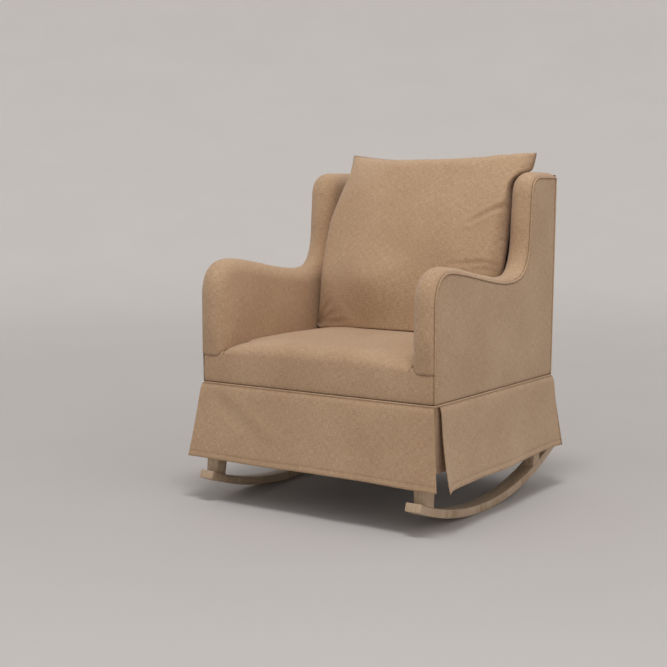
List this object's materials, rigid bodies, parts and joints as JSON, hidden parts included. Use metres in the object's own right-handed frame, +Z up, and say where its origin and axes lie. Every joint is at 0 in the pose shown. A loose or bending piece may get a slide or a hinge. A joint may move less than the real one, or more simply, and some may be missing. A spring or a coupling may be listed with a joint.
{
  "type": "rocking nursery chair",
  "caption": "Skirted wingback rocking chair on bent-wood runners, with padded rolled arms, a tight sprung seat, piped seams, corner pleats and a loose back cushion.",
  "frame": {"origin": "on the floor under the middle of the chair's outer box, midway between its sides and between the runners' two ends", "axes": "+Z up, -Y the way the sitter looks, +X to the sitter's left"},
  "size_m": [0.808, 0.79, 0.954],
  "materials": {
    "linen_weave": "plain-woven tan linen-look upholstery fabric, matt, with a soft nap",
    "fabric_piping": "the same fabric cut on the bias over a cord",
    "skirt_underlay": "the same fabric, lined, behind the corner pleats",
    "ash_legs": "pale whitewashed ash, bent and laminated for the runners, matt oil",
    "beech_frame": "planed beech, unfinished",
    "plywood": "birch plywood, unfinished",
    "spring_steel": "tempered steel wire, oiled",
    "zinc_steel": "zinc-plated steel",
    "foam": "polyurethane foam, cream",
    "cushion_filling": "white cambric bag with its filling",
    "felt": "grey needled felt",
    "elastic_webbing": "elastic upholstery webbing",
    "dust_cloth": "black non-woven dust cloth",
    "zip_tape": "woven zip tape with nylon coil"
  },
  "bodies": {
    "chair": {"arm_cover_left": "linen_weave", "arm_cover_right": "linen_weave", "arm_pad_left": "foam", "arm_pad_right": "foam", "arm_piping_left": "fabric_piping", "arm_piping_right": "fabric_piping", "back_foam": "foam", "back_lower_rail": "beech_frame", "back_post_left": "beech_frame", "back_post_right": "beech_frame", "back_top_rail": "beech_frame", "back_webbing": "elastic_webbing", "dust_cover": "dust_cloth", "front_corner_block_left": "beech_frame", "front_corner_block_right": "beech_frame", "front_leg_left": "ash_legs", "front_leg_right": "ash_legs", "front_pleat_flap_left": "skirt_underlay", "front_pleat_flap_right": "skirt_underlay", "front_runner_screw_left": "zinc_steel", "front_runner_screw_right": "zinc_steel", "front_seat_rail": "beech_frame", "inside_back_cover": "linen_weave", "outside_arm_panel_left": "linen_weave", "outside_arm_panel_right": "linen_weave", "outside_back_panel": "linen_weave", "rear_corner_block_left": "beech_frame", "rear_corner_block_right": "beech_frame", "rear_leg_left": "ash_legs", "rear_leg_right": "ash_legs", "rear_pleat_flap_left": "skirt_underlay", "rear_pleat_flap_right": "skirt_underlay", "rear_runner_screw_left": "zinc_steel", "rear_runner_screw_right": "zinc_steel", "rear_seat_rail": "beech_frame", "runner_left": "ash_legs", "runner_right": "ash_legs", "seat_border_pad": "foam", "seat_cover": "linen_weave", "seat_foam": "foam", "seat_insulator": "felt", "seat_spring_1": "spring_steel", "seat_spring_2": "spring_steel", "seat_spring_3": "spring_steel", "seat_spring_4": "spring_steel", "seat_spring_5": "spring_steel", "side_panel_left": "plywood", "side_panel_right": "plywood", "side_seat_rail_left": "beech_frame", "side_seat_rail_right": "beech_frame", "skirt_back": "linen_weave", "skirt_front": "linen_weave", "skirt_piping": "fabric_piping", "skirt_side_left": "linen_weave", "skirt_side_right": "linen_weave"},
    "back_cushion": {"cushion_cover": "linen_weave", "cushion_insert": "cushion_filling", "cushion_zip": "zip_tape"},
    "zip_slider": {"zip_slider": "zinc_steel"}
  },
  "joints": [
    {"name": "back_cushion_lift", "type": "slide", "parent": "chair", "child": "back_cushion", "axis": [0, 0, 1], "range_m": [0, 0.5]},
    {"name": "zip_slide", "type": "slide", "parent": "back_cushion", "child": "zip_slider", "axis": [-1, 0, 0], "range_m": [0, 0.28]}
  ]
}
